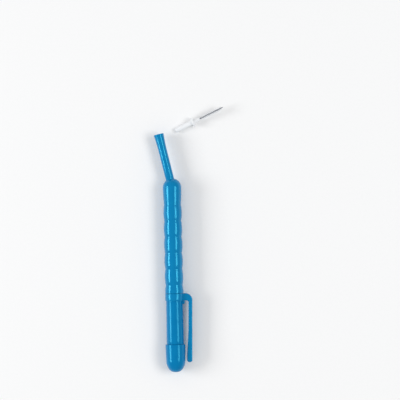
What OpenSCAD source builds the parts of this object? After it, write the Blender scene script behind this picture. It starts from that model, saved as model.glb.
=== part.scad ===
// Interdental brush set: an angled handle with finger rings, a travel cap with a pocket clip that is
// parked on the handle's rear end, and a push-in brush of filaments held in a twisted steel wire.
//
// Everything lies flat, as on a table. +Y points along the handle to its neck, +X to the side that the
// clip is on, and +Z up. The origin is on the table, under the middle of the whole set.

/* [Grip barrel] */
// Largest diameter of the grip
grip_d = 9.4; // [8.8:0.1:11]
// Length from the centre of the round shoulder to the rear face
grip_len = 53.9; // [45:0.1:70]
// Distance from the shoulder's centre to the first finger ring
ring_start = 8.8; // [6:0.1:12]
// Distance from one finger ring to the next
ring_pitch = 8.2; // [6:0.1:12]
// Least distance from the last finger ring to the rear face
ring_end = 2.5; // [1.5:0.1:6]
// Depth of a finger ring below the crown of the swellings beside it
ring_depth = 0.4; // [0.15:0.05:0.8]
// Diameter of the rear spigot that carries the cap
spigot_d = 6.8; // [6.2:0.1:7.2]
// Length of the rear spigot
spigot_len = 10; // [6:0.5:16]
// Diameter of the hollow that is cored into the handle from the rear
core_d = 5; // [3:0.1:5.4]
// Thickness left between the hollow and the seat of the neck
core_web = 3; // [1.5:0.1:8]

/* [Neck and brush socket] */
// Lean of the neck from the handle's axis, in degrees
neck_lean = 13; // [0:0.5:20]
// Distance from the shoulder's centre to the mouth of the neck
neck_reach = 28; // [24:0.1:36]
// Diameter of the neck's shank
neck_d = 4.3; // [3.8:0.1:5.4]
// Diameter of the neck at its mouth
mouth_d = 5.2; // [4.6:0.1:6.4]
// Length of the flare towards the mouth
flare_len = 9; // [5:0.5:14]
// How far the neck is set into the barrel, past the shoulder's centre
neck_seat = 3; // [1:0.1:6]
// Diameter of the socket that takes the brush's stub
socket_d = 2.5; // [2.2:0.05:3]
// Depth of the socket
socket_len = 11; // [10:0.1:14]

/* [Cap tube] */
// Diameter of the bore, which slides on the rear spigot
cap_bore_d = 6.9; // [6.9:0.05:7.3]
// Outer diameter beside the clip's ring
tube_top_d = 8.6; // [8.4:0.1:9.2]
// Outer diameter beside the end cap
tube_low_d = 8.9; // [8.6:0.1:9.4]
// Length of tube in view between the clip's ring and the end cap
tube_len = 22.1; // [14:0.1:30]
// Diameter of the necked-down seat under the clip's ring
ring_seat_d = 8.1; // [7.8:0.05:8.3]
// Diameter of the necked-down end that the end cap laps over
lap_d = 8.2; // [7.8:0.05:8.4]
// Length of that lap
lap_len = 6.5; // [4:0.5:9]

/* [Pocket clip] */
// Length of the clip's ring along the handle
clip_ring_len = 3.7; // [3:0.1:7]
// Width of the clip across its strip
clip_w = 3.6; // [2.4:0.1:5]
// Width of the strip just before its round tip
clip_tip_w = 2.8; // [1.8:0.1:4]
// Distance from the handle's axis to the strip's outer face at the bridge
clip_out_top = 9.2; // [8.6:0.1:11]
// Distance from the handle's axis to the strip's outer face at the tip
clip_out_tip = 8.5; // [8.2:0.1:11]
// Thickness of the strip
clip_t = 2; // [1.2:0.1:2.4]
// Length from the ring's front face to the strip's tip
clip_len = 35.3; // [30:0.1:40]
// Outer corner radius of the bridge
clip_corner_r = 3.6; // [1:0.1:3.8]
// Inner corner radius under the bridge
clip_inner_r = 0.9; // [0.3:0.1:1.2]
// How far the strip swells inwards at its tip, to grip
clip_bump = 0.7; // [0.1:0.05:1]
// Length over which the strip swells
clip_bump_len = 18; // [10:0.5:20]
// Thickness of the small web in the corner behind the ring, under the bridge
clip_web_t = 1.2; // [0.8:0.1:2]
// How far that web reaches out from the tube
clip_web_out = 0.9; // [0.5:0.1:1.5]
// How far that web reaches along the tube
clip_web_len = 1.9; // [1.6:0.1:3]

/* [End cap] */
// Outer diameter of the end cap at its open rim
end_d = 10.2; // [9.6:0.1:11]
// Outer diameter of the end cap where its domed end starts
end_low_d = 9.8; // [9.2:0.1:11]
// Length of the end cap
end_len = 14.2; // [12:0.1:20]
// Length of the domed end
dome_len = 6.1; // [3:0.1:8]
// Diameter of the small flat on the domed end
dome_flat_d = 1.8; // [0.6:0.1:4]
// Wall left at the middle of the domed end
end_wall = 1.9; // [1:0.1:3]
// Length of the hollow's rounded end
hollow_dome_len = 3.6; // [1.5:0.1:4.5]

/* [Brush base] */
// Diameter of the stub that pushes into the socket
stub_d = 2.4; // [2.1:0.05:2.8]
// Length of the stub, up to the flange
stub_len = 9.4; // [8:0.1:10]
// Diameter of the flange
flange_d = 4.7; // [3.6:0.1:6]
// Thickness of the flange
flange_t = 0.9; // [0.5:0.1:1.4]
// Diameter of the collar where it leaves the flange
collar_d = 2.6; // [2:0.1:3.2]
// Diameter of the collar where the wire leaves it
collar_tip_d = 1.3; // [1:0.05:1.8]
// Length of the collar
collar_len = 3.4; // [2:0.1:5]

/* [Twisted wire and filaments] */
// Diameter of the steel wire before it is folded and twisted
wire_d = 0.28; // [0.2:0.01:0.34]
// Length of twisted wire that stands out of the collar
wire_len = 13.3; // [11.5:0.1:16]
// Length of twisted wire that is moulded into the base
wire_root = 4; // [2:0.1:6]
// Length of wire in which the twist makes one full turn
wire_lay_len = 1.8; // [1.4:0.1:2.6]
// Length over which the twist dies away before the fold
wire_ease = 0.6; // [0.3:0.1:0.9]
// Thickness of a nylon filament
filament_d = 0.05; // [0.04:0.005:0.06]
// Space between one filament and the next along the wire
filament_gap = 0.02; // [0.015:0.005:0.03]
// Width of the spine of filaments that the wire pinches
spine_w = 0.4; // [0.36:0.01:0.5]
// Diameter of the brush over its filaments
brush_d = 2.6; // [1.8:0.1:4]
// Diameter of the brush at its tip
brush_tip_d = 2; // [1.4:0.1:3]
// Length of the taper at the brush's tip
brush_taper_len = 3; // [1:0.1:5]
// Bare wire between the collar and the first filament
bare_root = 0.8; // [0.3:0.1:1.2]
// Bare wire between the last filament and the fold
bare_tip = 0.5; // [0.3:0.1:0.8]

/* [Layout] */
// Sideways distance from the neck's mouth to the loose brush's stub
insert_side = 9.2; // [6:0.1:20]
// Distance by which the stub lies further along the handle than the mouth
insert_ahead = 2; // [0:0.1:10]
// Direction in which the loose brush points, in degrees from +X
insert_heading = 25; // [5:1:60]

/* [Fits] */
// Gap all round between the neck and its seat, and between the wire and its hole
glue_gap = 0.02; // [0.01:0.005:0.04]
// Gap all round between the clip's ring and its seat
ring_gap = 0.02; // [0.01:0.005:0.05]
// Gap all round between the end cap and its lap
lap_gap = 0.05; // [0.02:0.01:0.1]
// Gap between faces that meet end to end
face_gap = 0.1; // [0.05:0.05:0.2]
// Gap between the wire and the spine of filaments
pinch_gap = 0.02; // [0.015:0.005:0.03]
// Chamfer on outer rims
rim_chamfer = 0.25; // [0.1:0.05:0.35]
// Chamfer on small rims
fine_chamfer = 0.15; // [0.05:0.05:0.25]

/* [Hidden] */

// Colours
blue = [0.02, 0.47, 0.70];
deep_blue = [0.02, 0.42, 0.64];
white = [0.94, 0.95, 0.96];
steel = [0.42, 0.45, 0.50];
nylon = [0.88, 0.92, 0.96];

// Facets of a drawn circle and of a long shallow arc, and steps of a round corner and of a hollow's end
$fn = 96;
ARC_FN = 240;
CORNER_STEPS = 12;
HOLLOW_STEPS = 8;
// How far a cut runs past the face that it opens
over = 0.5;

// Places along the handle's axis, measured to the rear from the shoulder's centre
ring_count = floor((grip_len - ring_start - ring_end) / ring_pitch) + 1;
last_ring = ring_start + (ring_count - 1) * ring_pitch;
spigot_end = grip_len + spigot_len;
cap_front = grip_len + face_gap;
clip_ring_end = cap_front + clip_ring_len;
tube_end = clip_ring_end + tube_len;
end_front = tube_end + face_gap;
lap_end = tube_end + lap_len;
end_back = end_front + end_len;

// Radii that a fit gives
neck_hole_r = neck_d / 2 + glue_gap;
clip_bore_r = ring_seat_d / 2 + ring_gap;
end_bore_r = lap_d / 2 + lap_gap;

// The handle lies on the widest of its round pieces
axis_z = max(end_d, end_low_d, grip_d) / 2;

// The loose brush lies on the rims of its stub and its flange, so its wire tip points up a little
stub_rest = stub_len - rim_chamfer;
flange_rest = flange_d / 2 - fine_chamfer;
insert_tilt = atan((flange_d - stub_d) / 2 / stub_rest);
collar_end = stub_len + flange_t + collar_len;
wire_end = collar_end + wire_len;

// Twisted wire: the pair of strands winds round the spine of filaments
strand_orbit = filament_d / 2 + pinch_gap + wire_d / 2;
wire_start = collar_end - wire_root;
fold_at = wire_end - strand_orbit - wire_d / 2;
ease_at = fold_at - wire_ease;
WIRE_SIDES = 6;
RINGS_A_TURN = 8;
FOLD_RINGS = 4;
wire_hole_r = strand_orbit + wire_d / 2 + glue_gap;

// Filaments
brush_from = collar_end + bare_root;
brush_to = fold_at - bare_tip;
filament_pitch = filament_d + filament_gap;
filament_rows = floor((brush_to - brush_from) / filament_pitch);
TIP_WIDTH_SHARE = 0.8;
LENGTH_SWING_SHARE = 0.04;
SWING_ANGLE = 137.5;

// Where the points of a row start: the spine above the filament, its tips on either side, the next row
SPINE_HIGH = 4;
TIPS = 8;
OTHER_TIPS = 12;
ROW_SIZE = 16;

// Corners of the whole set, from the shoulder's centre, which put the origin under its middle
mouth_x = -neck_reach * sin(neck_lean);
mouth_y = neck_reach * cos(neck_lean);
stub_x = mouth_x + insert_side;
stub_y = mouth_y + insert_ahead;
insert_back = stub_d / 2 * sin(insert_tilt) + rim_chamfer * cos(insert_tilt);
wire_run = wire_end * cos(insert_tilt) - insert_back;
brush_run = brush_to * cos(insert_tilt) - insert_back;
set_left = mouth_x - mouth_d / 2 * cos(neck_lean);
set_right = stub_x + wire_run * cos(insert_heading);
set_top = stub_y + max(
    wire_run * sin(insert_heading),
    brush_run * sin(insert_heading) + brush_tip_d / 2 * cos(insert_heading)
);
set_bottom = -end_back;
handle_x = -(set_left + set_right) / 2;
handle_y = -(set_top + set_bottom) / 2;

// Places children whose +Z runs from the shoulder's centre to the rear
module along_handle() {
    translate([handle_x, handle_y, axis_z])
        rotate([90, 0, 0])
            children();
}

// Places children whose +Z runs from the shoulder's centre up the neck
module along_neck() {
    translate([handle_x, handle_y, axis_z])
        rotate([-90, 0, neck_lean])
            children();
}

// Places children whose +Z runs from the loose brush's stub to its wire tip
module along_insert() {
    translate([handle_x + stub_x, handle_y + stub_y, 0])
        rotate([0, 90 - insert_tilt, insert_heading])
            translate([-stub_d / 2, 0, -rim_chamfer])
                children();
}

// A square turned on its corner, which cuts a chamfer of the given leg at a profile's corner
module corner_cut(x, y, leg) {
    translate([x, y])
        rotate(45)
            square(leg * sqrt(2), center = true);
}

// The profile under a shallow arc that is highest at crown and lower by drop at reach from it
module under_arc(from, to, crown, reach, top, drop) {
    arc_r = (reach * reach + drop * drop) / (2 * drop);
    intersection() {
        translate([0, from])
            square([top, to - from]);
        translate([top - arc_r, crown])
            circle(r = arc_r, $fn = ARC_FN);
    }
}

// Half profile of the grip: a ball-shaped shoulder, then a swelling on each side of every finger ring
module grip_profile() {
    r = grip_d / 2;
    rear_run = grip_len - last_ring;
    intersection() {
        circle(r = r);
        translate([0, -r])
            square([r, r]);
    }
    under_arc(0, ring_start, 0, ring_start, r, ring_depth);
    for (i = [1:1:ring_count - 1]) {
        from = ring_start + (i - 1) * ring_pitch;
        under_arc(from, from + ring_pitch, from + ring_pitch / 2, ring_pitch / 2, r, ring_depth);
    }
    difference() {
        under_arc(last_ring, grip_len, grip_len, rear_run, r, ring_depth);
        corner_cut(r, grip_len, fine_chamfer);
    }
    difference() {
        translate([0, grip_len - over])
            square([spigot_d / 2, spigot_len + over]);
        corner_cut(spigot_d / 2, spigot_end, rim_chamfer);
    }
}

// Handle's grip, with the seat of the neck in its shoulder and a cored-out rear
module grip_barrel() {
    color(blue)
        difference() {
            along_handle()
                rotate_extrude()
                    grip_profile();
            along_neck()
                translate([0, 0, -neck_seat])
                    cylinder(r = neck_hole_r, h = neck_seat + grip_d);
            along_handle()
                translate([0, 0, neck_seat + core_web])
                    cylinder(d = core_d, h = spigot_end - neck_seat - core_web + over);
        }
}

// Half profile of the neck, whose flare is one arc that leaves the shank without a kink
module neck_profile() {
    foot = -neck_seat + face_gap;
    flare_from = neck_reach - flare_len;
    rise = (mouth_d - neck_d) / 2;
    flare_r = (flare_len * flare_len + rise * rise) / (2 * rise);
    difference() {
        union() {
            translate([0, foot])
                square([neck_d / 2, flare_from - foot]);
            difference() {
                translate([0, flare_from])
                    square([mouth_d / 2, flare_len]);
                translate([neck_d / 2 + flare_r, flare_from])
                    circle(r = flare_r, $fn = ARC_FN);
            }
        }
        corner_cut(neck_d / 2, foot, fine_chamfer);
        corner_cut(mouth_d / 2, neck_reach, rim_chamfer);
        translate([0, neck_reach - socket_len])
            square([socket_d / 2, socket_len + over]);
        corner_cut(socket_d / 2, neck_reach, fine_chamfer);
    }
}

// Neck that leans off the grip and holds the brush's stub
module angled_neck() {
    color(blue)
        along_neck()
            rotate_extrude()
                neck_profile();
}

// Half profile of the cap's tube, necked down under the clip's ring and under the end cap
module tube_profile() {
    bore = cap_bore_d / 2;
    difference() {
        polygon([
            [bore, cap_front],
            [ring_seat_d / 2, cap_front],
            [ring_seat_d / 2, clip_ring_end],
            [tube_top_d / 2, clip_ring_end],
            [tube_low_d / 2, tube_end],
            [lap_d / 2, tube_end],
            [lap_d / 2, lap_end],
            [bore, lap_end]
        ]);
        corner_cut(bore, cap_front, fine_chamfer);
        corner_cut(lap_d / 2, lap_end, fine_chamfer);
    }
}

// Tube of the travel cap, open at both ends
module cap_tube() {
    color(deep_blue)
        along_handle()
            rotate_extrude()
                tube_profile();
}

// Points of a round corner, from one angle to another
function arc_points(x, y, r, a0, a1, steps) =
    [for (i = [0:steps]) let (a = a0 + (a1 - a0) * i / steps) [x + r * cos(a), y + r * sin(a)]];

// Outer face of the clip's strip at a share of the way from the bridge to the round tip
function clip_outer_x(share) = clip_out_top + (clip_out_tip - clip_out_top) * share;

// Outline of the bridge and strip, seen from above: x from the handle's axis, y to the rear
module clip_outline() {
    front = cap_front;
    under = clip_ring_end + clip_inner_r;
    tip_r = (clip_t + clip_bump) / 2;
    run = clip_len - tip_r;
    under_x = clip_outer_x((under - front) / run) - clip_t - clip_inner_r;
    polygon(concat(
        [[0, front]],
        arc_points(clip_out_top - clip_corner_r, front + clip_corner_r, clip_corner_r, -90, 0, CORNER_STEPS),
        arc_points(clip_out_tip - tip_r, front + run, tip_r, 0, 180, CORNER_STEPS),
        [for (i = [CORNER_STEPS - 1:-1:0])
            let (share = i / CORNER_STEPS, y = run - clip_bump_len * (1 - share))
            [clip_outer_x(y / run) - clip_t - clip_bump * (1 - cos(180 * share)) / 2, front + y]],
        arc_points(under_x, under, clip_inner_r, 0, -90, CORNER_STEPS),
        [[0, clip_ring_end]]
    ));
}

// Outline of the clip seen from its side: it narrows to a round tip
module clip_side_outline() {
    front = cap_front;
    back = cap_front + clip_len;
    r = clip_tip_w / 2;
    polygon(concat(
        [[-clip_w / 2, front - over], [clip_w / 2, front - over], [clip_w / 2, clip_ring_end]],
        arc_points(0, back - r, r, 0, 180, CORNER_STEPS),
        [[-clip_w / 2, clip_ring_end]]
    ));
}

// Outline of the small web that stiffens the corner between the ring and the bridge
module clip_web_outline() {
    slope = max(tube_low_d - tube_top_d, 0) / 2 / tube_len;
    inner = tube_top_d / 2 + slope * clip_web_len + ring_gap;
    end = clip_ring_end + clip_web_len;
    polygon(concat(
        [[inner, clip_ring_end - clip_ring_len / 2], [inner + clip_web_out, clip_ring_end - clip_ring_len / 2]],
        arc_points(inner, end - clip_web_out, clip_web_out, 0, 90, CORNER_STEPS)
    ));
}

// Clip of the travel cap: a ring on the tube's mouth, a bridge and a springy strip with a grip bump
module pocket_clip() {
    color(blue)
        along_handle()
            difference() {
                union() {
                    translate([0, 0, cap_front])
                        cylinder(d = grip_d, h = clip_ring_len);
                    intersection() {
                        rotate([90, 0, 0])
                            translate([0, 0, -clip_w / 2])
                                linear_extrude(height = clip_w)
                                    clip_outline();
                        rotate([90, 0, 90])
                            linear_extrude(height = clip_out_top + over)
                                clip_side_outline();
                    }
                    rotate([90, 0, 0])
                        translate([0, 0, -clip_web_t / 2])
                            linear_extrude(height = clip_web_t)
                                clip_web_outline();
                }
                translate([0, 0, cap_front - over])
                    cylinder(r = clip_bore_r, h = clip_ring_len + over + over);
            }
}

// Points of a quarter of an ellipse that closes a round end, from its widest ring to its flat or axis
function dome_points(flat_r, wide_r, from, len, steps) =
    [for (i = [0:steps]) let (a = 90 * i / steps) [flat_r + (wide_r - flat_r) * cos(a), from + len * sin(a)]];

// Half profile of the end cap
module end_profile() {
    r = end_d / 2;
    bore = cap_bore_d / 2;
    hollow_end = end_back - end_wall;
    difference() {
        polygon(concat(
            [[0, end_front], [r, end_front]],
            dome_points(dome_flat_d / 2, end_low_d / 2, end_back - dome_len, dome_len, CORNER_STEPS),
            [[0, end_back]]
        ));
        translate([0, end_front - over])
            square([end_bore_r, lap_len + over + face_gap]);
        polygon(concat(
            [[0, end_front], [bore, end_front]],
            dome_points(0, bore, hollow_end - hollow_dome_len, hollow_dome_len, HOLLOW_STEPS)
        ));
        corner_cut(r, end_front, fine_chamfer);
        corner_cut(end_bore_r, end_front, fine_chamfer);
    }
}

// Wider end cap that laps over the tube's far end and closes it
module cap_end() {
    color(deep_blue)
        along_handle()
            rotate_extrude()
                end_profile();
}

// Half profile of the brush's base
module base_profile() {
    flange_top = stub_len + flange_t;
    difference() {
        union() {
            square([stub_d / 2, stub_len + fine_chamfer]);
            translate([0, stub_len])
                square([flange_d / 2, flange_t]);
            polygon([
                [0, flange_top - fine_chamfer],
                [collar_d / 2, flange_top - fine_chamfer],
                [collar_d / 2, flange_top],
                [collar_tip_d / 2, collar_end],
                [0, collar_end]
            ]);
        }
        corner_cut(stub_d / 2, 0, rim_chamfer);
        corner_cut(flange_d / 2, flange_top, fine_chamfer);
        translate([0, wire_start - face_gap])
            square([wire_hole_r, wire_root + face_gap + over]);
    }
}

// Plastic base of the brush: stub, flange and a collar round the wire's root
module brush_base() {
    color(white)
        along_insert()
            rotate_extrude()
                base_profile();
}

// Angle of the twist at a height, which eases to a stop just before the fold
function twist_at(z) =
    let (rate = 360 / wire_lay_len, late = max(z - ease_at, 0))
    rate * (z - wire_start - late * late / (2 * wire_ease));

// How fast the twist turns at a height, in degrees for each unit of length
function twist_rate(z) =
    360 / wire_lay_len * (1 - max(z - ease_at, 0) / wire_ease);

// One ring of the wire's tube: its centre, the way out from the axis and the way along the wire
function tube_ring(centre, out, along) =
    let (side = cross(along, out))
    [for (k = [0:WIRE_SIDES - 1])
        let (a = 360 * k / WIRE_SIDES)
        centre + wire_d / 2 * (cos(a) * out + sin(a) * side)];

// Ring of a strand at a height: turn is 0 for the strand that runs out and 180 for the one that runs back
function strand_ring(z, turn) =
    let (
        a = twist_at(z) + 90 + turn,
        out = [cos(a), sin(a), 0],
        sweep = strand_orbit * twist_rate(z) * PI / 180,
        up = [-sin(a) * sweep, cos(a) * sweep, 1],
        way = (turn == 0 ? 1 : -1) * up / norm(up)
    )
    tube_ring([strand_orbit * out[0], strand_orbit * out[1], z], out, way);

// Ring of the fold that joins the two strands over the tip
function fold_ring(a) =
    let (
        turn = twist_at(fold_at) + 90,
        flat = [cos(turn), sin(turn), 0],
        out = cos(a) * flat + [0, 0, sin(a)],
        way = [0, 0, cos(a)] - sin(a) * flat
    )
    tube_ring([0, 0, fold_at] + strand_orbit * out, out, way);

// A quad of a mesh as two triangles
function quad(a, b, c, d) = [[a, b, c], [a, c, d]];

// One wire, folded in half and twisted on itself, from one end in the base round the fold to the other
module twisted_wire() {
    steps = ceil((fold_at - wire_start) / (wire_lay_len / RINGS_A_TURN));
    heights = [for (i = [0:steps]) wire_start + (fold_at - wire_start) * i / steps];
    rings = concat(
        [for (z = heights) strand_ring(z, 0)],
        [for (i = [1:FOLD_RINGS - 1]) fold_ring(180 * i / FOLD_RINGS)],
        [for (i = [steps:-1:0]) strand_ring(heights[i], 180)]
    );
    last = len(rings) - 1;
    points = [for (ring = rings) for (p = ring) p];
    walls = [for (i = [0:last - 1]) for (k = [0:WIRE_SIDES - 1])
        let (n = (k + 1) % WIRE_SIDES, low = i * WIRE_SIDES, high = low + WIRE_SIDES)
        each quad(low + k, high + k, high + n, low + n)];
    start_cap = [for (k = [1:WIRE_SIDES - 2]) [0, k, k + 1]];
    finish = last * WIRE_SIDES;
    finish_cap = [for (k = [1:WIRE_SIDES - 2]) [finish, finish + k + 1, finish + k]];
    color(steel)
        along_insert()
            polyhedron(points = points, faces = concat(walls, start_cap, finish_cap), convexity = 10);
}

// Reach of the filaments from the axis at a height: a straight brush with a slim tip
function brush_r(z) =
    let (late = max(z - (brush_to - brush_taper_len), 0) / brush_taper_len)
    (brush_d + (brush_tip_d - brush_d) * late * late) / 2;

// Corners of the spine at a height: two on each side of the pinched filaments
function spine_ring(z) =
    let (
        a = twist_at(z),
        u = [cos(a), sin(a), 0] * spine_w / 2,
        n = [-sin(a), cos(a), 0] * filament_d / 2
    )
    [[0, 0, z] + u + n, [0, 0, z] - u + n, [0, 0, z] - u - n, [0, 0, z] + u - n];

// Tip of a filament that grows out of four corners of the spine, a little slimmer than its root
function filament_tip(roots, way, reach) =
    let (root = (roots[0] + roots[1] + roots[2] + roots[3]) / 4)
    [for (p = roots) root + (p - root) * TIP_WIDTH_SHARE + way * (reach - spine_w / 2)];

// Points of one row: the spine below and above the filament, then the tips of its two halves
function row_points(i) =
    let (
        z = brush_from + i * filament_pitch,
        low = spine_ring(z),
        high = spine_ring(z + filament_d),
        a = twist_at(z + filament_d / 2),
        way = [cos(a), sin(a), 0],
        swing = 1 - LENGTH_SWING_SHARE * (1 + sin(i * SWING_ANGLE)) / 2,
        reach = brush_r(z) * swing
    )
    concat(
        low, high,
        filament_tip([low[0], low[3], high[3], high[0]], way, reach),
        filament_tip([low[2], low[1], high[1], high[2]], -way, reach)
    );

// Faces of one row, whose points start at b
function row_faces(b) =
    let (h = b + SPINE_HIGH)
    concat(
        quad(h, h + 1, b + 1, b),
        quad(h + 2, h + 3, b + 3, b + 2),
        filament_faces([b, b + 3, h + 3, h], b + TIPS),
        filament_faces([b + 2, b + 1, h + 1, h + 2], b + OTHER_TIPS)
    );

// Faces of one half of a filament, from its four roots to its four tips
function filament_faces(roots, tip) = concat(
    [for (k = [0:3]) let (n = (k + 1) % 4) each quad(roots[k], roots[n], tip + n, tip + k)],
    quad(tip, tip + 1, tip + 2, tip + 3)
);

// Filaments: each one crosses the wire in the pinch of the twist, so their tips wind round it as two screws
module bristles() {
    rows = filament_rows;
    top = (rows - 1) * ROW_SIZE + SPINE_HIGH;
    points = [for (i = [0:rows - 1]) each row_points(i)];
    faces = concat(
        [for (i = [0:rows - 1]) each row_faces(i * ROW_SIZE)],
        [for (i = [0:rows - 2]) for (k = [0:3])
            let (n = (k + 1) % 4, low = i * ROW_SIZE + SPINE_HIGH, high = (i + 1) * ROW_SIZE)
            each quad(high + k, high + n, low + n, low + k)],
        quad(0, 1, 2, 3),
        quad(top + 3, top + 2, top + 1, top)
    );
    color(nylon)
        along_insert()
            polyhedron(points = points, faces = faces, convexity = 20);
}

grip_barrel();
angled_neck();
cap_tube();
pocket_clip();
cap_end();
brush_base();
twisted_wire();
bristles();
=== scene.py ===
"""Interdental brush set, dressed: angled grip, travel cap with a pocket clip, end cap and a loose brush.

Every piece is modelled in millimetres where it was turned or cut, and is then moved to its place on the
table, in metres.
"""

import logging
import math
import random
from collections.abc import Iterable
from dataclasses import dataclass, field
from enum import Enum

import bmesh
import bpy
from mathutils import Matrix, Vector


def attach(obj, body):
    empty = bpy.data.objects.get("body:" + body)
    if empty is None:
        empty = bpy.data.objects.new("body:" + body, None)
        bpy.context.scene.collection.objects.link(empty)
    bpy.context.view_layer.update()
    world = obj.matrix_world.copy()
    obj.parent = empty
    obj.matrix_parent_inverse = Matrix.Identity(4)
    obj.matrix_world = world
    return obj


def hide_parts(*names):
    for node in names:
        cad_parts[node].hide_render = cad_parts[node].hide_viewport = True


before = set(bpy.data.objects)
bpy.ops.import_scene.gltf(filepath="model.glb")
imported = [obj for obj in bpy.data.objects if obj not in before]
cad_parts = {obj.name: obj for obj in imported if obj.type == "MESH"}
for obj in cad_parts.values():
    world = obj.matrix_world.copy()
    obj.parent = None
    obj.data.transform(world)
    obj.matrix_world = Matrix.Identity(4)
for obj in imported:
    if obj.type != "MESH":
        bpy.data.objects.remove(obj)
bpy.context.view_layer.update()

LOG = logging.getLogger("brush_set")
MM = 0.001

# Tolerances in millimetres: for points to be joined, to lie on a rim and to lie on the mould's plane
JOINED = 0.0005
ON_RIM = 0.002
ON_PLANE = 0.001

# Facets across a narrow and a wide rounding, and round a turned piece
NARROW = 3
WIDE = 4
ROUND_STEPS = 120

Point = tuple[float, float]
Span = tuple[float, float]
Triple = tuple[float, float, float]
Mesh = bmesh.types.BMesh
Node = bpy.types.Node
Socket = bpy.types.NodeSocket


class Body(Enum):
    """Bodies that the pieces ride on."""

    HANDLE = "handle"
    CAP = "cap"
    END = "end"
    BRUSH = "brush"


class Slot(Enum):
    """Material slots of the record."""

    GRIP = "grip_plastic"
    CAP = "cap_plastic"
    BASE = "base_plastic"
    WIRE = "wire_steel"
    NYLON = "filament_nylon"


# Finishes


@dataclass(frozen=True)
class Grain:
    """Size, detail and roughness of a noise texture."""

    scale: float
    detail: float
    rough: float = 0.5


CLOUDS = Grain(0.35, 4.0)
STREAKS = Grain(1.0, 3.0)
SMUDGES = Grain(0.55, 5.0, 0.6)
SCRATCHES = Grain(1.6, 2.0)
RIPPLE = Grain(0.6, 2.0)
PAPER_GRAIN = Grain(900.0, 3.0)
STREAK_STRETCH = (1.2, 0.12, 1.2)
SCRATCH_STRETCH = (3.2, 0.3, 3.2)
SCRATCH_TURN = 0.35

# Stretches of the noise over which pigment, smudges and scratches come in
FLOW_SPAN = (0.75, 1.25)
SMUDGE_SPAN = (0.42, 0.68)
SCRATCH_SPAN = (0.64, 0.72)

# How much haze a scratch has beside a smudge, how deep it is beside the ripple, and their depth in metres
SCRATCH_HAZE = 0.6
SCRATCH_DEPTH = -0.15
RELIEF_DEPTH = 0.00006

# Numbers of a mix node's two colour inputs and of its colour output
MIX_FIRST = 6
MIX_SECOND = 7
MIX_RESULT = 2


class Graph:
    """Places and joins shader nodes in one tree."""

    def __init__(self, tree: bpy.types.NodeTree) -> None:
        """Starts with the tree's own nodes cleared away."""
        self.tree = tree
        tree.nodes.clear()

    def add(self, kind: str, values: dict[str | int, object] | None = None, **settings: object) -> Node:
        """Adds a node.

        Args:
            kind: The node's class name, such as ShaderNodeTexNoise.
            values: What goes into its inputs, by name or number: an output to join or a plain value.
            settings: Properties of the node itself.

        Returns:
            The new node.
        """
        node = self.tree.nodes.new(kind)
        for name, setting in settings.items():
            setattr(node, name, setting)
        for name, value in (values or {}).items():
            if isinstance(value, Socket):
                self.tree.links.new(value, node.inputs[name])
            else:
                node.inputs[name].default_value = value
        return node

    def combine(self, operation: str, *terms: Socket | float) -> Socket:
        """Adds a math node on its terms and gives its output."""
        return self.add("ShaderNodeMath", dict(enumerate(terms)), operation=operation).outputs[0]

    def stretch(self, vector: Socket, scale: Triple, turn: float = 0.0) -> Socket:
        """Adds a mapping that turns and stretches a vector, and gives its output."""
        values = {"Vector": vector, "Scale": scale, "Rotation": (0.0, 0.0, turn)}
        return self.add("ShaderNodeMapping", values).outputs["Vector"]

    def noise(self, vector: Socket, grain: Grain) -> Socket:
        """Adds a noise texture and gives its grey output."""
        values = {"Vector": vector, "Scale": grain.scale, "Detail": grain.detail, "Roughness": grain.rough}
        return self.add("ShaderNodeTexNoise", values).outputs["Fac"]

    def mix(
        self, share: Socket, first: Socket | tuple[float, ...], second: Socket | tuple[float, ...]
    ) -> Socket:
        """Adds a mix of two colours and gives its output."""
        values = {"Factor": share, MIX_FIRST: first, MIX_SECOND: second}
        return self.add("ShaderNodeMix", values, data_type="RGBA").outputs[MIX_RESULT]

    def spread(self, value: Socket, span: Span, onto: Span = (0.0, 1.0)) -> Socket:
        """Adds a clamped map of a value from one range onto another, and gives its output."""
        ranges = {"From Min": span[0], "From Max": span[1], "To Min": onto[0], "To Max": onto[1]}
        return self.add("ShaderNodeMapRange", {"Value": value, **ranges}).outputs["Result"]


def new_group(name: str, inputs: dict[str, str], outputs: dict[str, str]) -> tuple[Graph, Node]:
    """Makes a shader group with named sockets.

    Args:
        name: The group's name.
        inputs: Kind by input name: Color, Float or Vector.
        outputs: Kind by output name.

    Returns:
        The group's graph and its input node.
    """
    tree = bpy.data.node_groups.new(name, "ShaderNodeTree")
    for side, sockets in (("INPUT", inputs), ("OUTPUT", outputs)):
        for label, kind in sockets.items():
            tree.interface.new_socket(name=label, in_out=side, socket_type="NodeSocket" + kind)
    graph = Graph(tree)
    return graph, graph.add("NodeGroupInput")


def flow_group() -> bpy.types.NodeTree:
    """Makes the group that clouds a colour as pigment does that flowed into a mould.

    Returns:
        A group with the inputs Vector, Color, Deep and Amount, and the output Color.
    """
    graph, given = new_group(
        "Pigment flow",
        {"Vector": "Vector", "Color": "Color", "Deep": "Color", "Amount": "Float"},
        {"Color": "Color"},
    )
    vector = given.outputs["Vector"]
    clouds = graph.noise(vector, CLOUDS)
    streaks = graph.noise(graph.stretch(vector, STREAK_STRETCH), STREAKS)
    share = graph.spread(graph.combine("ADD", clouds, streaks), FLOW_SPAN)
    held = graph.combine("MULTIPLY", share, given.outputs["Amount"])
    color = graph.mix(held, given.outputs["Color"], given.outputs["Deep"])
    graph.add("NodeGroupOutput", {"Color": color})
    return graph.tree


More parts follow.
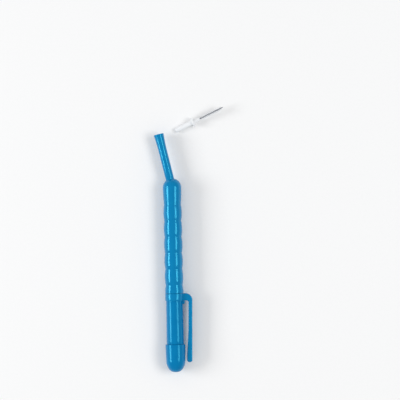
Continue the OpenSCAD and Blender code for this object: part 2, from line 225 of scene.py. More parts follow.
def handling_group() -> bpy.types.NodeTree:
    """Makes the group for skin marks, hairline scratches and the faint ripple of moulded plastic.

    Returns:
        A group with the inputs Vector, Gloss, Haze and Relief, and the outputs Roughness and Normal.
    """
    graph, given = new_group(
        "Handling marks",
        {"Vector": "Vector", "Gloss": "Float", "Haze": "Float", "Relief": "Float"},
        {"Roughness": "Float", "Normal": "Vector"},
    )
    vector = given.outputs["Vector"]
    smudges = graph.spread(graph.noise(vector, SMUDGES), SMUDGE_SPAN)
    scratch_noise = graph.noise(graph.stretch(vector, SCRATCH_STRETCH, SCRATCH_TURN), SCRATCHES)
    scratches = graph.spread(scratch_noise, SCRATCH_SPAN, (0.0, SCRATCH_HAZE))
    marks = graph.combine("MAXIMUM", smudges, scratches)
    rough = graph.combine("MULTIPLY_ADD", marks, given.outputs["Haze"], given.outputs["Gloss"])
    height = graph.combine("MULTIPLY_ADD", scratches, SCRATCH_DEPTH, graph.noise(vector, RIPPLE))
    bump = graph.add(
        "ShaderNodeBump", {"Strength": given.outputs["Relief"], "Distance": RELIEF_DEPTH, "Height": height}
    )
    graph.add("NodeGroupOutput", {"Roughness": rough, "Normal": bump.outputs["Normal"]})
    return graph.tree


class Workshop:
    """Holds the shader groups that several finishes share."""

    def __init__(self) -> None:
        """Makes the groups once."""
        self.flow = flow_group()
        self.handling = handling_group()


@dataclass(frozen=True)
class Finish:
    """A moulded or drawn surface.

    Attributes:
        name: Name of the material.
        color: Its colour, linear.
        deep: The colour that it clouds towards.
        clouding: How far it does.
        gloss: Roughness of the clean surface.
        haze: Roughness that handling adds.
        relief: Strength of its ripple and scratches.
        metallic: 1 for metal.
        shine: Strength of its reflections, 0.5 for a plain surface.
        sheen_tint: Colour that its reflections take.
        ior: Index of refraction.
    """

    name: str
    color: Triple
    deep: Triple
    clouding: float = 0.5
    gloss: float = 0.25
    haze: float = 0.12
    relief: float = 0.3
    metallic: float = 0.0
    shine: float = 0.5
    sheen_tint: Triple = (1.0, 1.0, 1.0)
    ior: float = 1.49

    def make(self, shop: Workshop) -> bpy.types.Material:
        """Makes the material.

        Args:
            shop: The shared groups.

        Returns:
            The new material.
        """
        made = bpy.data.materials.new(self.name)
        made.use_nodes = True
        made.diffuse_color = (*self.color, 1.0)
        graph = Graph(made.node_tree)
        in_mm = graph.stretch(graph.add("ShaderNodeTexCoord").outputs["Object"], (1 / MM, 1 / MM, 1 / MM))
        flow = graph.add(
            "ShaderNodeGroup",
            {
                "Vector": in_mm,
                "Color": (*self.color, 1.0),
                "Deep": (*self.deep, 1.0),
                "Amount": self.clouding,
            },
            node_tree=shop.flow,
        )
        handling = graph.add(
            "ShaderNodeGroup",
            {"Vector": in_mm, "Gloss": self.gloss, "Haze": self.haze, "Relief": self.relief},
            node_tree=shop.handling,
        )
        shader = graph.add(
            "ShaderNodeBsdfPrincipled",
            {
                "Base Color": flow.outputs["Color"],
                "Roughness": handling.outputs["Roughness"],
                "Normal": handling.outputs["Normal"],
                "Metallic": self.metallic,
                "Specular IOR Level": self.shine,
                "Specular Tint": (*self.sheen_tint, 1.0),
                "IOR": self.ior,
            },
        )
        graph.add("ShaderNodeOutputMaterial", {"Surface": shader.outputs["BSDF"]})
        return made


CYAN_GLEAM = (0.13, 0.82, 1.0)
GRIP_BLUE = Finish(
    "grip blue", (0.001, 0.2, 0.46), (0.001, 0.17, 0.41), gloss=0.09, haze=0.08, shine=0.85,
    sheen_tint=CYAN_GLEAM,
)
CAP_BLUE = Finish(
    "cap blue", (0.001, 0.19, 0.445), (0.001, 0.16, 0.395), gloss=0.08, haze=0.08, sheen_tint=CYAN_GLEAM
)
BASE_WHITE = Finish(
    "base white", (0.86, 0.88, 0.9), (0.78, 0.81, 0.84), clouding=0.4, gloss=0.3, haze=0.12
)
WIRE_STEEL = Finish(
    "wire steel", (0.17, 0.19, 0.24), (0.1, 0.115, 0.15), clouding=0.7, gloss=0.28, haze=0.2, relief=0.5,
    metallic=1.0,
)
NYLON = Finish(
    "filament nylon", (0.95, 0.965, 0.98), (0.9, 0.93, 0.96), clouding=0.5, gloss=0.35, haze=0.1,
    relief=0.1, ior=1.53,
)


# Modelling


@dataclass
class Outline:
    """An open or closed line of points: distance from the axis and place along it, in millimetres."""

    points: list[Point] = field(default_factory=list)

    def to(self, *points: Point) -> "Outline":
        """Adds corners."""
        self.points += points
        return self

    def arc(self, centre: Point, radii: Point, start: float, end: float, steps: int) -> "Outline":
        """Adds a part of an ellipse, both of its ends included.

        Args:
            centre: The ellipse's centre.
            radii: Its half widths across and along the axis.
            start: First angle in degrees, 0 pointing away from the axis.
            end: Last angle in degrees.
            steps: Number of pieces.

        Returns:
            The outline itself.
        """
        for k in range(steps + 1):
            turn = math.radians(start + (end - start) * k / steps)
            away = max(centre[0] + radii[0] * math.cos(turn), 0.0)
            self.points.append((away, centre[1] + radii[1] * math.sin(turn)))
        return self


def turned(outline: Outline, closed: bool, steps: int = ROUND_STEPS) -> Mesh:
    """Spins an outline round the Z axis.

    Args:
        outline: The half profile.
        closed: Whether it is a loop, as for a tube, and not a line from axis to axis.
        steps: Number of facets round the piece.

    Returns:
        The turned mesh, with its faces pointing out.
    """
    bm = bmesh.new()
    verts = [bm.verts.new((r, 0.0, z)) for r, z in outline.points]
    edges = [bm.edges.new(pair) for pair in zip(verts, verts[1:])]
    if closed:
        edges.append(bm.edges.new((verts[-1], verts[0])))
    bmesh.ops.spin(
        bm, geom=verts + edges, cent=(0, 0, 0), axis=(0, 0, 1), angle=math.tau, steps=steps, use_merge=True
    )
    bmesh.ops.remove_doubles(bm, verts=bm.verts, dist=JOINED)
    bmesh.ops.recalc_face_normals(bm, faces=bm.faces)
    return bm


def soften_rims(bm: Mesh, rims: Iterable[Point], width: float, segments: int = NARROW) -> None:
    """Rounds the circular edges of a turned piece.

    Args:
        bm: The turned mesh.
        rims: Radius and height of each edge.
        width: Width of the rounding.
        segments: Facets across it.
    """
    for radius, height in rims:
        ring = [
            edge
            for edge in bm.edges
            if all(
                abs(vert.co.z - height) < ON_RIM and abs(math.hypot(vert.co.x, vert.co.y) - radius) < ON_RIM
                for vert in edge.verts
            )
        ]
        bmesh.ops.bevel(
            bm, geom=ring, offset=width, offset_type="OFFSET", segments=segments, profile=0.5,
            affect="EDGES", clamp_overlap=True, material=-1,
        )


def draw_along(bm: Mesh, frames: list[Matrix]) -> None:
    """Draws a closed section through a row of frames and closes its far end.

    Args:
        bm: A mesh that holds the section alone, filled and lying in the first frame.
        frames: The frames, one for each place of the section.
    """
    ring = bm.edges[:]
    for before, after in zip(frames, frames[1:]):
        drawn = bmesh.ops.extrude_edge_only(bm, edges=ring)["geom"]
        ring = [item for item in drawn if isinstance(item, bmesh.types.BMEdge)]
        moved = [item for item in drawn if isinstance(item, bmesh.types.BMVert)]
        bmesh.ops.transform(bm, matrix=after @ before.inverted(), verts=moved)
    bmesh.ops.edgeloop_fill(bm, edges=ring)
    bmesh.ops.recalc_face_normals(bm, faces=bm.faces)


@dataclass
class Dresser:
    """Turns finished meshes into pieces of the scene."""

    shop: Workshop
    made: dict[str, bpy.types.Material] = field(default_factory=dict)

    def material(self, finish: Finish) -> bpy.types.Material:
        """Gives a finish's material, made once.

        Args:
            finish: The finish.

        Returns:
            Its material.
        """
        if finish.name not in self.made:
            self.made[finish.name] = finish.make(self.shop)
        return self.made[finish.name]

    def piece(
        self,
        name: str,
        bm: Mesh,
        place: Matrix,
        finish: Finish,
        body: Body,
        nodes: Iterable[str],
        sharp: float = 38.0,
    ) -> None:
        """Moves a mesh to its place, dresses it and puts it on its body.

        Args:
            name: Name of the piece.
            bm: Its mesh, in millimetres.
            place: Where that mesh goes in the row frame.
            finish: What it is made of.
            body: The body that it rides on.
            nodes: The nodes that it stands for.
            sharp: Edges that turn by more degrees than this stay crisp.
        """
        bmesh.ops.transform(bm, matrix=place @ Matrix.Scale(MM, 4), verts=bm.verts)
        limit = math.radians(sharp)
        for face in bm.faces:
            face.smooth = True
        for edge in bm.edges:
            edge.smooth = edge.calc_face_angle(0.0) < limit
        mesh = bpy.data.meshes.new(name)
        bm.to_mesh(mesh)
        bm.free()
        mesh.materials.append(self.material(finish))
        made = bpy.data.objects.new(name, mesh)
        bpy.context.scene.collection.objects.link(made)
        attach(made, body.value)
        for node in nodes:
            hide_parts(node)
        LOG.info("%s: %d faces on %s", name, len(mesh.polygons), body.value)


# Pieces


@dataclass
class Handle:
    """Grip with its finger rings, and the neck that leans off its shoulder. Sizes in millimetres."""

    x: float = -8.994125
    y: float = 26.551858
    z: float = 5.1
    grip_r: float = 4.7
    grip_len: float = 53.9
    grip_steps: int = 144
    shoulder_steps: int = 22
    ring_start: float = 8.8
    ring_pitch: float = 8.2
    rings: int = 6
    ring_depth: float = 0.4
    ring_rounding: float = 0.24
    front_steps: int = 9
    ring_steps: int = 12
    rear_steps: int = 6
    spigot_r: float = 3.4
    spigot_len: float = 10.0
    spigot_rounding: float = 0.24
    core_r: float = 2.5
    core_from: float = 6.0
    seam: float = 0.02
    seam_clear: float = 0.5
    seam_stop: float = 0.3
    neck_lean: float = 13.0
    neck_foot: float = -2.9
    neck_reach: float = 28.0
    neck_r: float = 2.15
    neck_steps: int = 96
    mouth_r: float = 2.6
    mouth_rounding: float = 0.3
    flare_len: float = 9.0
    flare_steps: int = 16
    socket_r: float = 1.25
    socket_len: float = 11.0
    rounding: float = 0.14

    def shoulder(self) -> Matrix:
        """Gives the place of the shoulder's centre."""
        return Matrix.Translation(Vector((self.x, self.y, self.z)) * MM)

    def place(self) -> Matrix:
        """Gives the place of things whose +Z runs to the rear from the shoulder's centre."""
        return self.shoulder() @ Matrix.Rotation(math.pi / 2, 4, "X")

    def neck_place(self) -> Matrix:
        """Gives the place of things whose +Z runs up the neck from the shoulder's centre."""
        lean = Matrix.Rotation(math.radians(self.neck_lean), 4, "Z")
        return self.shoulder() @ lean @ Matrix.Rotation(-math.pi / 2, 4, "X")

    def swell(
        self, outline: Outline, start: float, end: float, crown: float, reach: float, steps: int
    ) -> None:
        """Adds one swelling of the grip to its outline.

        Args:
            outline: The outline so far.
            start: Where the swelling starts.
            end: Where it ends; this point isn't added.
            crown: Its highest place.
            reach: Distance from there to where it is lower by the rings' depth.
            steps: Number of pieces.
        """
        arc_r = (reach**2 + self.ring_depth**2) / (2 * self.ring_depth)
        for k in range(steps):
            z = start + (end - start) * k / steps
            outline.to((self.grip_r - arc_r + math.sqrt(arc_r**2 - (z - crown) ** 2), z))

    def grip(self) -> Mesh:
        """Turns the grip and raises the hairline seam that its mould leaves on both sides.

        Returns:
            The grip's mesh.
        """
        outline = Outline().arc((0, 0), (self.grip_r, self.grip_r), -90, 0, self.shoulder_steps)
        outline.points.pop()
        self.swell(outline, 0, self.ring_start, 0, self.ring_start, self.front_steps)
        half = self.ring_pitch / 2
        for k in range(self.rings - 1):
            start = self.ring_start + k * self.ring_pitch
            self.swell(outline, start, start + self.ring_pitch, start + half, half, self.ring_steps)
        last = self.ring_start + (self.rings - 1) * self.ring_pitch
        self.swell(outline, last, self.grip_len, self.grip_len, self.grip_len - last, self.rear_steps)
        tail = self.grip_len + self.spigot_len
        outline.to(
            (self.grip_r, self.grip_len), (self.spigot_r, self.grip_len), (self.spigot_r, tail),
            (self.core_r, tail), (self.core_r, self.core_from), (0, self.core_from),
        )
        bm = turned(outline, closed=False, steps=self.grip_steps)
        valley = self.grip_r - self.ring_depth
        valleys = [(valley, self.ring_start + k * self.ring_pitch) for k in range(self.rings)]
        soften_rims(bm, valleys, self.ring_rounding, WIDE)
        soften_rims(bm, [(self.grip_r, self.grip_len)], self.rounding)
        soften_rims(bm, [(self.spigot_r, tail)], self.spigot_rounding)
        self.raise_seam(bm)
        return bm

    def raise_seam(self, bm: Mesh) -> None:
        """Raises the grip's outer points that lie on the mould's plane, up to its rear face.

        Args:
            bm: The grip's mesh.
        """
        for vert in bm.verts:
            outside = math.hypot(vert.co.x, vert.co.y) > self.spigot_r + self.seam_clear
            if abs(vert.co.y) < ON_PLANE and outside and vert.co.z < self.grip_len - self.seam_stop:
                vert.co.x += math.copysign(self.seam, vert.co.x)

    def neck(self) -> Mesh:
        """Turns the neck, with its flare and its socket.

        Returns:
            The neck's mesh.
        """
        rise = self.mouth_r - self.neck_r
        flare_r = (self.flare_len**2 + rise**2) / (2 * rise)
        flare_from = self.neck_reach - self.flare_len
        outline = Outline().to((0, self.neck_foot), (self.neck_r, self.neck_foot))
        for k in range(self.flare_steps + 1):
            run = self.flare_len * k / self.flare_steps
            outline.to((self.neck_r + flare_r - math.sqrt(flare_r**2 - run**2), flare_from + run))
        floor = self.neck_reach - self.socket_len
        outline.to((self.socket_r, self.neck_reach), (self.socket_r, floor), (0, floor))
        bm = turned(outline, closed=False, steps=self.neck_steps)
        soften_rims(bm, [(self.neck_r, self.neck_foot)], self.rounding)
        soften_rims(bm, [(self.mouth_r, self.neck_reach)], self.mouth_rounding, WIDE)
        soften_rims(bm, [(self.socket_r, self.neck_reach)], self.rounding)
        return bm

    def build(self, dresser: Dresser) -> None:
        """Builds and dresses the grip and the neck.

        Args:
            dresser: Who dresses the pieces.
        """
        dresser.piece(
            "grip", self.grip(), self.place(), GRIP_BLUE, Body.HANDLE, ["grip_barrel"]
        )
        dresser.piece(
            "neck", self.neck(), self.neck_place(), GRIP_BLUE, Body.HANDLE, ["angled_neck"]
        )


@dataclass
class TravelCap:
    """Tube of the cap, with its clip. Millimetres, measured to the rear from the shoulder's centre."""

    front: float = 54.0
    ring_end: float = 57.7
    tube_end: float = 79.8
    tube_steps: int = 8
    lap_end: float = 86.3
    bore_r: float = 3.45
    seat_r: float = 4.05
    top_r: float = 4.3
    low_r: float = 4.45
    lap_r: float = 4.1
    rounding: float = 0.14
    step_rounding: float = 0.1
    ring_r: float = 4.7
    ring_bore_r: float = 4.07
    ring_rounding: float = 0.16
    strip_w: float = 3.6
    strip_tip_w: float = 2.8
    strip_out_top: float = 9.2
    strip_out_tip: float = 8.5
    strip_t: float = 2.0
    strip_len: float = 35.3
    strip_sides: int = 32
    strip_steps: int = 44
    bend_steps: int = 12
    swell: float = 0.7
    swell_len: float = 18.0
    corner_r: float = 3.6
    inner_r: float = 0.9
    root: float = 4.2
    round_out: float = 0.42
    round_wide: float = 0.26
    web_foot: float = 4.34
    web_out: float = 0.9
    web_len: float = 1.9
    web_lap: float = 1.0
    web_t: float = 1.2
    web_round_share: float = 0.95
    web_round_steps: int = 8
    web_rounding: float = 0.2
    web_corner: float = 50.0
    web_clear: float = 0.01
    sharp: float = 60.0

    def tube(self) -> Mesh:
        """Turns the tube, open at both ends.

        Returns:
            The tube's mesh.
        """
        outline = Outline().to(
            (self.bore_r, self.front), (self.seat_r, self.front), (self.seat_r, self.ring_end),
            (self.top_r, self.ring_end),
        )
        wider = self.low_r - self.top_r
        length = self.tube_end - self.ring_end
        steps = self.tube_steps
        for k in range(1, steps + 1):
            outline.to((self.top_r + wider * k / steps, self.ring_end + length * k / steps))
        outline.to((self.lap_r, self.tube_end), (self.lap_r, self.lap_end), (self.bore_r, self.lap_end))
        bm = turned(outline, closed=True)
        soften_rims(bm, [(self.bore_r, self.front)], self.rounding)
        soften_rims(bm, [(self.low_r, self.tube_end)], self.step_rounding)
        soften_rims(bm, [(self.lap_r, self.lap_end)], self.rounding)
        return bm

    def ring(self) -> Mesh:
        """Turns the clip's ring.

        Returns:
            The ring's mesh.
        """
        outline = Outline().to(
            (self.ring_bore_r, self.front), (self.ring_r, self.front), (self.ring_r, self.ring_end),
            (self.ring_bore_r, self.ring_end),
        )
        bm = turned(outline, closed=True)
        soften_rims(bm, [(self.ring_r, self.front), (self.ring_r, self.ring_end)], self.ring_rounding)
        return bm

    def straight(self) -> float:
        """Gives where the strip's round tip starts."""
        return self.strip_len - (self.strip_t + self.swell) / 2

    def outer(self, run: float) -> float:
        """Gives the strip's outer face at a distance from its front."""
        share = min(run / self.straight(), 1.0)
        return self.strip_out_top + (self.strip_out_tip - self.strip_out_top) * share

    def inner(self, run: float) -> float:
        """Gives the strip's inner face, with its swelling, at a distance from its front."""
        share = min(max((run - self.straight() + self.swell_len) / self.swell_len, 0.0), 1.0)
        return self.outer(run) - self.strip_t - self.swell * (1 - math.cos(math.pi * share)) / 2

    def half_width(self, run: float) -> float:
        """Gives half the strip's width, which narrows to a round tip.

        Args:
            run: Distance from the strip's front.

        Returns:
            Half the width there.
        """
        tip_r = self.strip_tip_w / 2
        bridge = self.ring_end - self.front
        body_end = self.strip_len - tip_r
        if run <= body_end:
            share = max((run - bridge) / (body_end - bridge), 0.0)
            return (self.strip_w + (self.strip_tip_w - self.strip_w) * share) / 2
        return math.sqrt(max(tip_r**2 - (run - body_end) ** 2, 0.0))

    def section(self, outer: Point, inner: Point) -> Matrix:
        """Gives the frame of a cross-section of the strip.

        Args:
            outer: Its outermost point: distance from the axis and from the front.
            inner: Its innermost point.

        Returns:
            A matrix that stretches a section one unit out and one unit wide to its size and place.
        """
        middle = Vector(((outer[0] + inner[0]) / 2, 0, (outer[1] + inner[1]) / 2))
        out = Vector((outer[0] - inner[0], 0, outer[1] - inner[1])) / 2
        wide = Vector((0, self.half_width(middle.z), 0))
        turned_to = Matrix((out, wide, out.cross(wide).normalized())).transposed().to_4x4()
        return Matrix.Translation(middle + Vector((0, 0, self.front))) @ turned_to

    def sections(self) -> list[Matrix]:
        """Lists the strip's cross-sections: out along the bridge, round the corner and down to the tip.

        Returns:
            The frame of each cross-section, in order.
        """
        bridge = self.ring_end - self.front
        under = bridge + self.inner_r
        outer_x = self.strip_out_top - self.corner_r
        under_x = self.inner(under) - self.inner_r
        places = [((self.root, 0.0), (self.root, bridge))]
        for k in range(self.bend_steps + 1):
            turn = math.radians(90 * k / self.bend_steps - 90)
            across, down = math.cos(turn), 1 + math.sin(turn)
            places.append((
                (outer_x + self.corner_r * across, self.corner_r * down),
                (under_x + self.inner_r * across, bridge + self.inner_r * down),
            ))
        for k in range(1, self.strip_steps + 1):
            run = under + (self.straight() - under) * k / self.strip_steps
            places.append(((self.outer(run), run), (self.inner(run), run)))
        tip_r = (self.strip_t + self.swell) / 2
        tip_x = self.strip_out_tip - tip_r
        for k in range(1, self.bend_steps):
            turn = math.radians(90 * k / self.bend_steps)
            run = self.straight() + tip_r * math.sin(turn)
            half = tip_r * math.cos(turn)
            places.append(((tip_x + half, run), (tip_x - half, run)))
        return [self.section(outer, inner) for outer, inner in places]

    def strip(self) -> Mesh:
        """Draws a rounded section along the bridge and the strip, up to its round tip.

        Returns:
            The strip's mesh.
        """
        frames = self.sections()
        bm = bmesh.new()
        flat_up = Matrix.Rotation(math.pi / self.strip_sides, 4, "Z")
        bmesh.ops.create_circle(bm, cap_ends=True, segments=self.strip_sides, radius=1, matrix=flat_up)
        for vert in bm.verts:
            vert.co.x = self.round_out * vert.co.x + math.copysign(1 - self.round_out, vert.co.x)
            vert.co.y = self.round_wide * vert.co.y + math.copysign(1 - self.round_wide, vert.co.y)
        bmesh.ops.transform(bm, matrix=frames[0], verts=bm.verts)
        draw_along(bm, frames)
        return bm

    def web(self) -> Mesh:
        """Cuts the small web that stiffens the corner between the ring and the bridge.

        Returns:
            The web's mesh.
        """
        bm = bmesh.new()
        root = self.ring_end - self.web_lap
        end = self.ring_end + self.web_len
        tip = self.web_foot + self.web_out
        corners = [(self.web_foot, root), (tip, root), (tip, end), (self.web_foot, end)]
        verts = [bm.verts.new((x, -self.web_t / 2, run)) for x, run in corners]
        bm.faces.new(verts)
        bmesh.ops.bevel(
            bm, geom=[verts[2]], offset=self.web_round_share * self.web_out, offset_type="ABSOLUTE",
            segments=self.web_round_steps, profile=0.5, affect="VERTICES", material=-1,
        )
        slab = bmesh.ops.extrude_face_region(bm, geom=bm.faces[:])
        risen = [item for item in slab["geom"] if isinstance(item, bmesh.types.BMVert)]
        bmesh.ops.translate(bm, vec=(0, self.web_t, 0), verts=risen)
        bmesh.ops.recalc_face_normals(bm, faces=bm.faces)
        outer = [
            edge
            for edge in bm.edges
            if edge.calc_face_angle(0.0) > math.radians(self.web_corner)
            and min(vert.co.z for vert in edge.verts) > root + self.web_clear
            and max(vert.co.x for vert in edge.verts) > self.web_foot + self.web_clear
        ]
        bmesh.ops.bevel(
            bm, geom=outer, offset=self.web_rounding, offset_type="OFFSET", segments=NARROW, profile=0.5,
            affect="EDGES", clamp_overlap=True, material=-1,
        )
        return bm

    def build(self, dresser: Dresser, place: Matrix) -> None:
        """Builds and dresses the tube, the clip's ring, its strip and its web.

        Args:
            dresser: Who dresses the pieces.
            place: The place of the handle's axis.
        """
        clip = ["pocket_clip"]
        dresser.piece("cap_sleeve", self.tube(), place, CAP_BLUE, Body.CAP, ["cap_tube"])
        dresser.piece("clip_ring", self.ring(), place, GRIP_BLUE, Body.CAP, clip)
        dresser.piece("clip_strip", self.strip(), place, GRIP_BLUE, Body.CAP, clip, self.sharp)
        dresser.piece("clip_web", self.web(), place, GRIP_BLUE, Body.CAP, clip, self.sharp)


@dataclass
class EndCap:
    """Wider cap that laps over the tube's far end. Sizes in millimetres."""

    front: float = 79.9
    length: float = 14.2
    rim_r: float = 5.097
    rounding: float = 0.12
    low_r: float = 4.9
    lap_bore_r: float = 4.15
    lap_len: float = 6.6
    bore_r: float = 3.45
    dome_len: float = 6.1
    dome_steps: int = 24
    flat_r: float = 0.9
    wall: float = 1.9
    hollow_len: float = 3.6
    hollow_from: float = 82.0
    hollow_steps: int = 10

    def shell(self) -> Mesh:
        """Turns the domed shell with its stepped hollow.

        Returns:
            The shell's mesh.
        """
        back = self.front + self.length
        step = self.front + self.lap_len
        hollow_end = back - self.wall
        hollow = (self.bore_r, self.hollow_len)
        dome = (self.low_r - self.flat_r, self.dome_len)
        outline = Outline().to((0, hollow_end))
        outline.arc((0, hollow_end - self.hollow_len), hollow, self.hollow_from, 0, self.hollow_steps)
        outline.to((self.bore_r, step), (self.lap_bore_r, step))
        outline.to((self.lap_bore_r, self.front), (self.rim_r, self.front))
        outline.arc((self.flat_r, back - self.dome_len), dome, 0, 90, self.dome_steps)
        outline.to((0, back))
        bm = turned(outline, closed=False)
        soften_rims(bm, [(self.rim_r, self.front)], self.rounding)
        soften_rims(bm, [(self.lap_bore_r, self.front)], self.rounding)
        return bm

    def build(self, dresser: Dresser, place: Matrix) -> None:
        """Builds and dresses the end cap."""
        dresser.piece("end_shell", self.shell(), place, CAP_BLUE, Body.END, ["cap_end"])


@dataclass
class LooseBrush:
    """Push-in brush: moulded base, folded and twisted wire, and its filaments. Sizes in millimetres."""

    x: float = -6.092754
    y: float = 55.83422
    heading: float = 25.0
    base_steps: int = 64
    stub_r: float = 1.2
    stub_len: float = 9.4
    stub_lead: float = 0.25
    stub_rounding: float = 0.24
    flange_r: float = 2.35
    flange_t: float = 0.9
    flange_rounding: float = 0.14
    collar_r: float = 1.3
    collar_rounding: float = 0.2
    collar_tip_r: float = 0.65
    collar_tip_rounding: float = 0.12
    collar_len: float = 3.4
    hole_gap: float = 0.02
    hole_extra: float = 0.1
    wire_r: float = 0.14
    wire_len: float = 13.28
    wire_root: float = 4.0
    wire_sides: int = 12
    wire_sharp: float = 60.0
    turn_len: float = 1.8
    turn_steps: int = 14
    fold_steps: int = 8
    pace_step: float = 0.001
    ease: float = 0.6
    orbit: float = 0.185
    bare_root: float = 0.8
    bare_tip: float = 0.5
    brush_r: float = 1.3
    brush_tip_r: float = 1.0
    taper_len: float = 3.0
    filament_r: float = 0.028
    filament_root: float = 0.08
    filament_rows: int = 560
    filament_sides: int = 5
    filament_sharp: float = 80.0
    tip_share: float = 0.85
    shortest_share: float = 0.92
    longest_share: float = 0.985
    sway: float = 3.5
    most_lean: float = 9.0
    seed: int = 41

    def collar_end(self) -> float:
        """Gives where the wire leaves the collar."""
        return self.stub_len + self.flange_t + self.collar_len

    def wire_start(self) -> float:
        """Gives where the wire's two ends lie in the base."""
        return self.collar_end() - self.wire_root

    def fold_at(self) -> float:
        """Gives where the fold of the wire starts."""
        return self.collar_end() + self.wire_len - self.orbit - self.wire_r

    def place(self) -> Matrix:
        """Gives the place of things whose +Z runs from the stub's free end to the wire's tip."""
        tilt = math.atan((self.flange_r - self.stub_r) / (self.stub_len - self.stub_lead))
        return (
            Matrix.Translation(Vector((self.x, self.y, 0)) * MM)
            @ Matrix.Rotation(math.radians(self.heading), 4, "Z")
            @ Matrix.Rotation(math.pi / 2 - tilt, 4, "Y")
            @ Matrix.Translation(Vector((-self.stub_r, 0, -self.stub_lead)) * MM)
        )

    def base(self) -> Mesh:
        """Turns the base: stub, flange and collar.

        Returns:
            The base's mesh.
        """
        flange_top = self.stub_len + self.flange_t
        hole_r = self.orbit + self.wire_r + self.hole_gap
        hole_end = self.wire_start() - self.hole_extra
        outline = Outline().to(
            (0, 0), (self.stub_r, 0), (self.stub_r, self.stub_len), (self.flange_r, self.stub_len),
            (self.flange_r, flange_top), (self.collar_r, flange_top), (self.collar_tip_r, self.collar_end()),
            (hole_r, self.collar_end()), (hole_r, hole_end), (0, hole_end),
        )
        bm = turned(outline, closed=False, steps=self.base_steps)
        flange = [(self.flange_r, self.stub_len), (self.flange_r, flange_top)]
        soften_rims(bm, [(self.stub_r, 0)], self.stub_rounding)
        soften_rims(bm, flange, self.flange_rounding)
        soften_rims(bm, [(self.collar_r, flange_top)], self.collar_rounding)
        soften_rims(bm, [(self.collar_tip_r, self.collar_end())], self.collar_tip_rounding)
        return bm

    def twist(self, z: float) -> float:
        """Gives the angle of the twist at a height, which stops just before the fold."""
        late = max(z - self.fold_at() + self.ease, 0.0)
        return math.tau / self.turn_len * (z - self.wire_start() - late**2 / (2 * self.ease))

    def strand_frame(self, z: float, back: bool) -> Matrix:
        """Gives the frame of a strand's cross-section.

        Args:
            z: Its height.
            back: Whether it is the strand that runs back to the base.

        Returns:
            A matrix whose Z runs along the wire and whose X points away from the twist's axis.
        """
        turn = self.twist(z) + math.pi / 2 + (math.pi if back else 0.0)
        step = self.pace_step
        pace = (self.twist(z + step) - self.twist(z - step)) / (2 * step) * self.orbit
        out = Vector((math.cos(turn), math.sin(turn), 0))
        along = Vector((-pace * math.sin(turn), pace * math.cos(turn), 1)).normalized() * (-1 if back else 1)
        return self.cross_section(out, along, out * self.orbit + Vector((0, 0, z)))

    def fold_frame(self, share: float) -> Matrix:
        """Gives the frame of a cross-section on the fold.

        Args:
            share: How far over the fold it is, from 0 to 1.

        Returns:
            A matrix whose Z runs along the wire and whose X points away from the fold's centre.
        """
        turn = self.twist(self.fold_at()) + math.pi / 2
        flat = Vector((math.cos(turn), math.sin(turn), 0))
        angle = math.pi * share
        out = flat * math.cos(angle) + Vector((0, 0, math.sin(angle)))
        along = Vector((0, 0, math.cos(angle))) - flat * math.sin(angle)
        return self.cross_section(out, along, Vector((0, 0, self.fold_at())) + out * self.orbit)

    @staticmethod
    def cross_section(out: Vector, along: Vector, centre: Vector) -> Matrix:
        """Gives the matrix that has out as its X, along as its Z and centre as its origin."""
        turned_to = Matrix((out, along.cross(out), along)).transposed().to_4x4()
        return Matrix.Translation(centre) @ turned_to

    def wire(self) -> Mesh:
        """Draws one wire up, over the fold and back down.

        Returns:
            The wire's mesh.
        """
        start = self.wire_start()
        rise = self.fold_at() - start
        count = math.ceil(rise / self.turn_len * self.turn_steps)
        heights = [start + rise * k / count for k in range(count + 1)]
        frames = [self.strand_frame(z, False) for z in heights]
        frames += [self.fold_frame(k / self.fold_steps) for k in range(1, self.fold_steps)]
        frames += [self.strand_frame(z, True) for z in reversed(heights)]
        bm = bmesh.new()
        bmesh.ops.create_circle(
            bm, cap_ends=True, segments=self.wire_sides, radius=self.wire_r, matrix=frames[0]
        )
        draw_along(bm, frames)
        return bm

    def reach(self, z: float) -> float:
        """Gives how far the filaments reach at a height."""
        late = max(z - (self.fold_at() - self.bare_tip - self.taper_len), 0.0) / self.taper_len
        return self.brush_r + (self.brush_tip_r - self.brush_r) * late**2

    def filaments(self) -> Mesh:
        """Sets the filaments, which the twisted wire pinches, so that their tips wind round it.

        Returns:
            The mesh of all filaments.
        """
        draw = random.Random(self.seed)
        bm = bmesh.new()
        low = self.collar_end() + self.bare_root
        high = self.fold_at() - self.bare_tip
        for k in range(self.filament_rows):
            z = low + (high - low) * (k + 0.5) / self.filament_rows
            for side in (0.0, math.pi):
                share = draw.uniform(self.shortest_share, self.longest_share)
                length = self.reach(z) * share - self.filament_root
                turn = self.twist(z) + side + math.radians(draw.gauss(0, self.sway))
                lean = math.radians(max(-self.most_lean, min(self.most_lean, draw.gauss(0, self.sway))))
                lean = max(lean, -math.asin(min((high - z) / length, 1.0)))
                aim = (
                    Matrix.Translation((0, 0, z))
                    @ Matrix.Rotation(turn, 4, "Z")
                    @ Matrix.Rotation(math.pi / 2 + lean, 4, "Y")
                    @ Matrix.Translation((0, 0, self.filament_root + length / 2))
                )
                bmesh.ops.create_cone(
                    bm, cap_ends=True, segments=self.filament_sides, radius1=self.filament_r,
                    radius2=self.tip_share * self.filament_r, depth=length, matrix=aim,
                )
        return bm

    def build(self, dresser: Dresser) -> None:
        """Builds and dresses the base, the wire and the filaments.

        Args:
            dresser: Who dresses the pieces.
        """
        place = self.place()
        dresser.piece("brush_stub", self.base(), place, BASE_WHITE, Body.BRUSH, ["brush_base"])
        dresser.piece(
            "wire_twist", self.wire(), place, WIRE_STEEL, Body.BRUSH, ["twisted_wire"],
            self.wire_sharp,
        )
        dresser.piece(
            "filaments", self.filaments(), place, NYLON, Body.BRUSH, ["bristles"],
            self.filament_sharp,
        )


# Studio


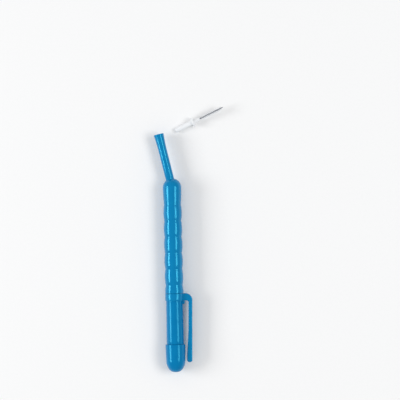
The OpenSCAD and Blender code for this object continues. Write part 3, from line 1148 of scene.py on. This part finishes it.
@dataclass
class Studio:
    """Pale floor, two long soft lamps and the camera straight above. Sizes in metres."""

    floor_size: float = 6.0
    paper_dark: tuple[float, ...] = (0.9, 0.905, 0.91, 1.0)
    paper_light: tuple[float, ...] = (0.93, 0.933, 0.936, 1.0)
    paper_rough: float = 0.9
    paper_shine: float = 0.1
    aim_x: float = 0.00512
    aim_y: float = 0.019874
    aim_z: float = 0.0051
    frame_width: float = 0.204
    camera_away: float = 0.8
    camera_sees: float = 10.0
    roll: float = 1.23
    sensor: float = 36.0
    lamp_away: float = 1.3
    left_lean: float = 62.0
    right_lean: float = 40.0
    lamp_w: float = 0.46
    lamp_len: float = 0.7
    left_power: float = 8.4
    right_power: float = 5.6
    sky: float = 0.57
    seen_sky: float = 0.95

    def floor(self) -> None:
        """Lays the pale floor."""
        bm = bmesh.new()
        bmesh.ops.create_grid(bm, x_segments=1, y_segments=1, size=self.floor_size / 2)
        mesh = bpy.data.meshes.new("floor")
        bm.to_mesh(mesh)
        bm.free()
        made = bpy.data.objects.new("floor", mesh)
        bpy.context.scene.collection.objects.link(made)
        paper = bpy.data.materials.new("floor paper")
        paper.use_nodes = True
        graph = Graph(paper.node_tree)
        grain = graph.noise(graph.add("ShaderNodeTexCoord").outputs["Object"], PAPER_GRAIN)
        tone = graph.mix(grain, self.paper_dark, self.paper_light)
        shader = graph.add(
            "ShaderNodeBsdfPrincipled",
            {"Base Color": tone, "Roughness": self.paper_rough, "Specular IOR Level": self.paper_shine},
        )
        graph.add("ShaderNodeOutputMaterial", {"Surface": shader.outputs["BSDF"]})
        mesh.materials.append(paper)

    def lamps(self) -> None:
        """Hangs a long soft lamp on each side of the handle."""
        centre = Vector((self.aim_x, self.aim_y, self.aim_z))
        for name, lean, power in (
            ("lamp left", -self.left_lean, self.left_power),
            ("lamp right", self.right_lean, self.right_power),
        ):
            data = bpy.data.lights.new(name, "AREA")
            data.shape = "RECTANGLE"
            data.size = self.lamp_w
            data.size_y = self.lamp_len
            data.energy = power
            lamp = bpy.data.objects.new(name, data)
            bpy.context.scene.collection.objects.link(lamp)
            turn = Matrix.Rotation(math.radians(lean), 4, "Y")
            lamp.matrix_world = Matrix.Translation(centre) @ turn @ Matrix.Translation((0, 0, self.lamp_away))

    def world(self) -> None:
        """Sets an even sky, which the camera sees paler than the pieces do."""
        world = bpy.data.worlds.new("sky")
        world.use_nodes = True
        graph = Graph(world.node_tree)
        seen = graph.add("ShaderNodeLightPath").outputs["Is Camera Ray"]
        strength = graph.spread(seen, (0.0, 1.0), (self.sky, self.seen_sky))
        sky = graph.add("ShaderNodeBackground", {"Color": (1.0, 1.0, 1.0, 1.0), "Strength": strength})
        graph.add("ShaderNodeOutputWorld", {"Surface": sky.outputs["Background"]})
        bpy.context.scene.world = world

    def camera(self) -> None:
        """Sets the camera above the set, as the photograph was taken."""
        data = bpy.data.cameras.new("camera")
        data.sensor_width = self.sensor
        data.lens = self.sensor * self.camera_away / self.frame_width
        data.clip_end = self.camera_sees
        made = bpy.data.objects.new("camera", data)
        bpy.context.scene.collection.objects.link(made)
        above = Vector((self.aim_x, self.aim_y, self.aim_z + self.camera_away))
        made.matrix_world = Matrix.Translation(above) @ Matrix.Rotation(math.radians(-self.roll), 4, "Z")
        bpy.context.scene.camera = made

    def build(self) -> None:
        """Sets up the floor, the lamps, the sky and the camera."""
        self.floor()
        self.lamps()
        self.world()
        self.camera()
        bpy.context.scene.view_settings.view_transform = "Standard"


def main() -> None:
    """Builds the studio and every piece in order."""
    logging.basicConfig(level=logging.INFO, format="%(name)s: %(message)s")
    Studio().build()
    dresser = Dresser(Workshop())
    handle = Handle()
    handle.build(dresser)
    TravelCap().build(dresser, handle.place())
    EndCap().build(dresser, handle.place())
    LooseBrush().build(dresser)


if __name__ == "__main__":
    main()
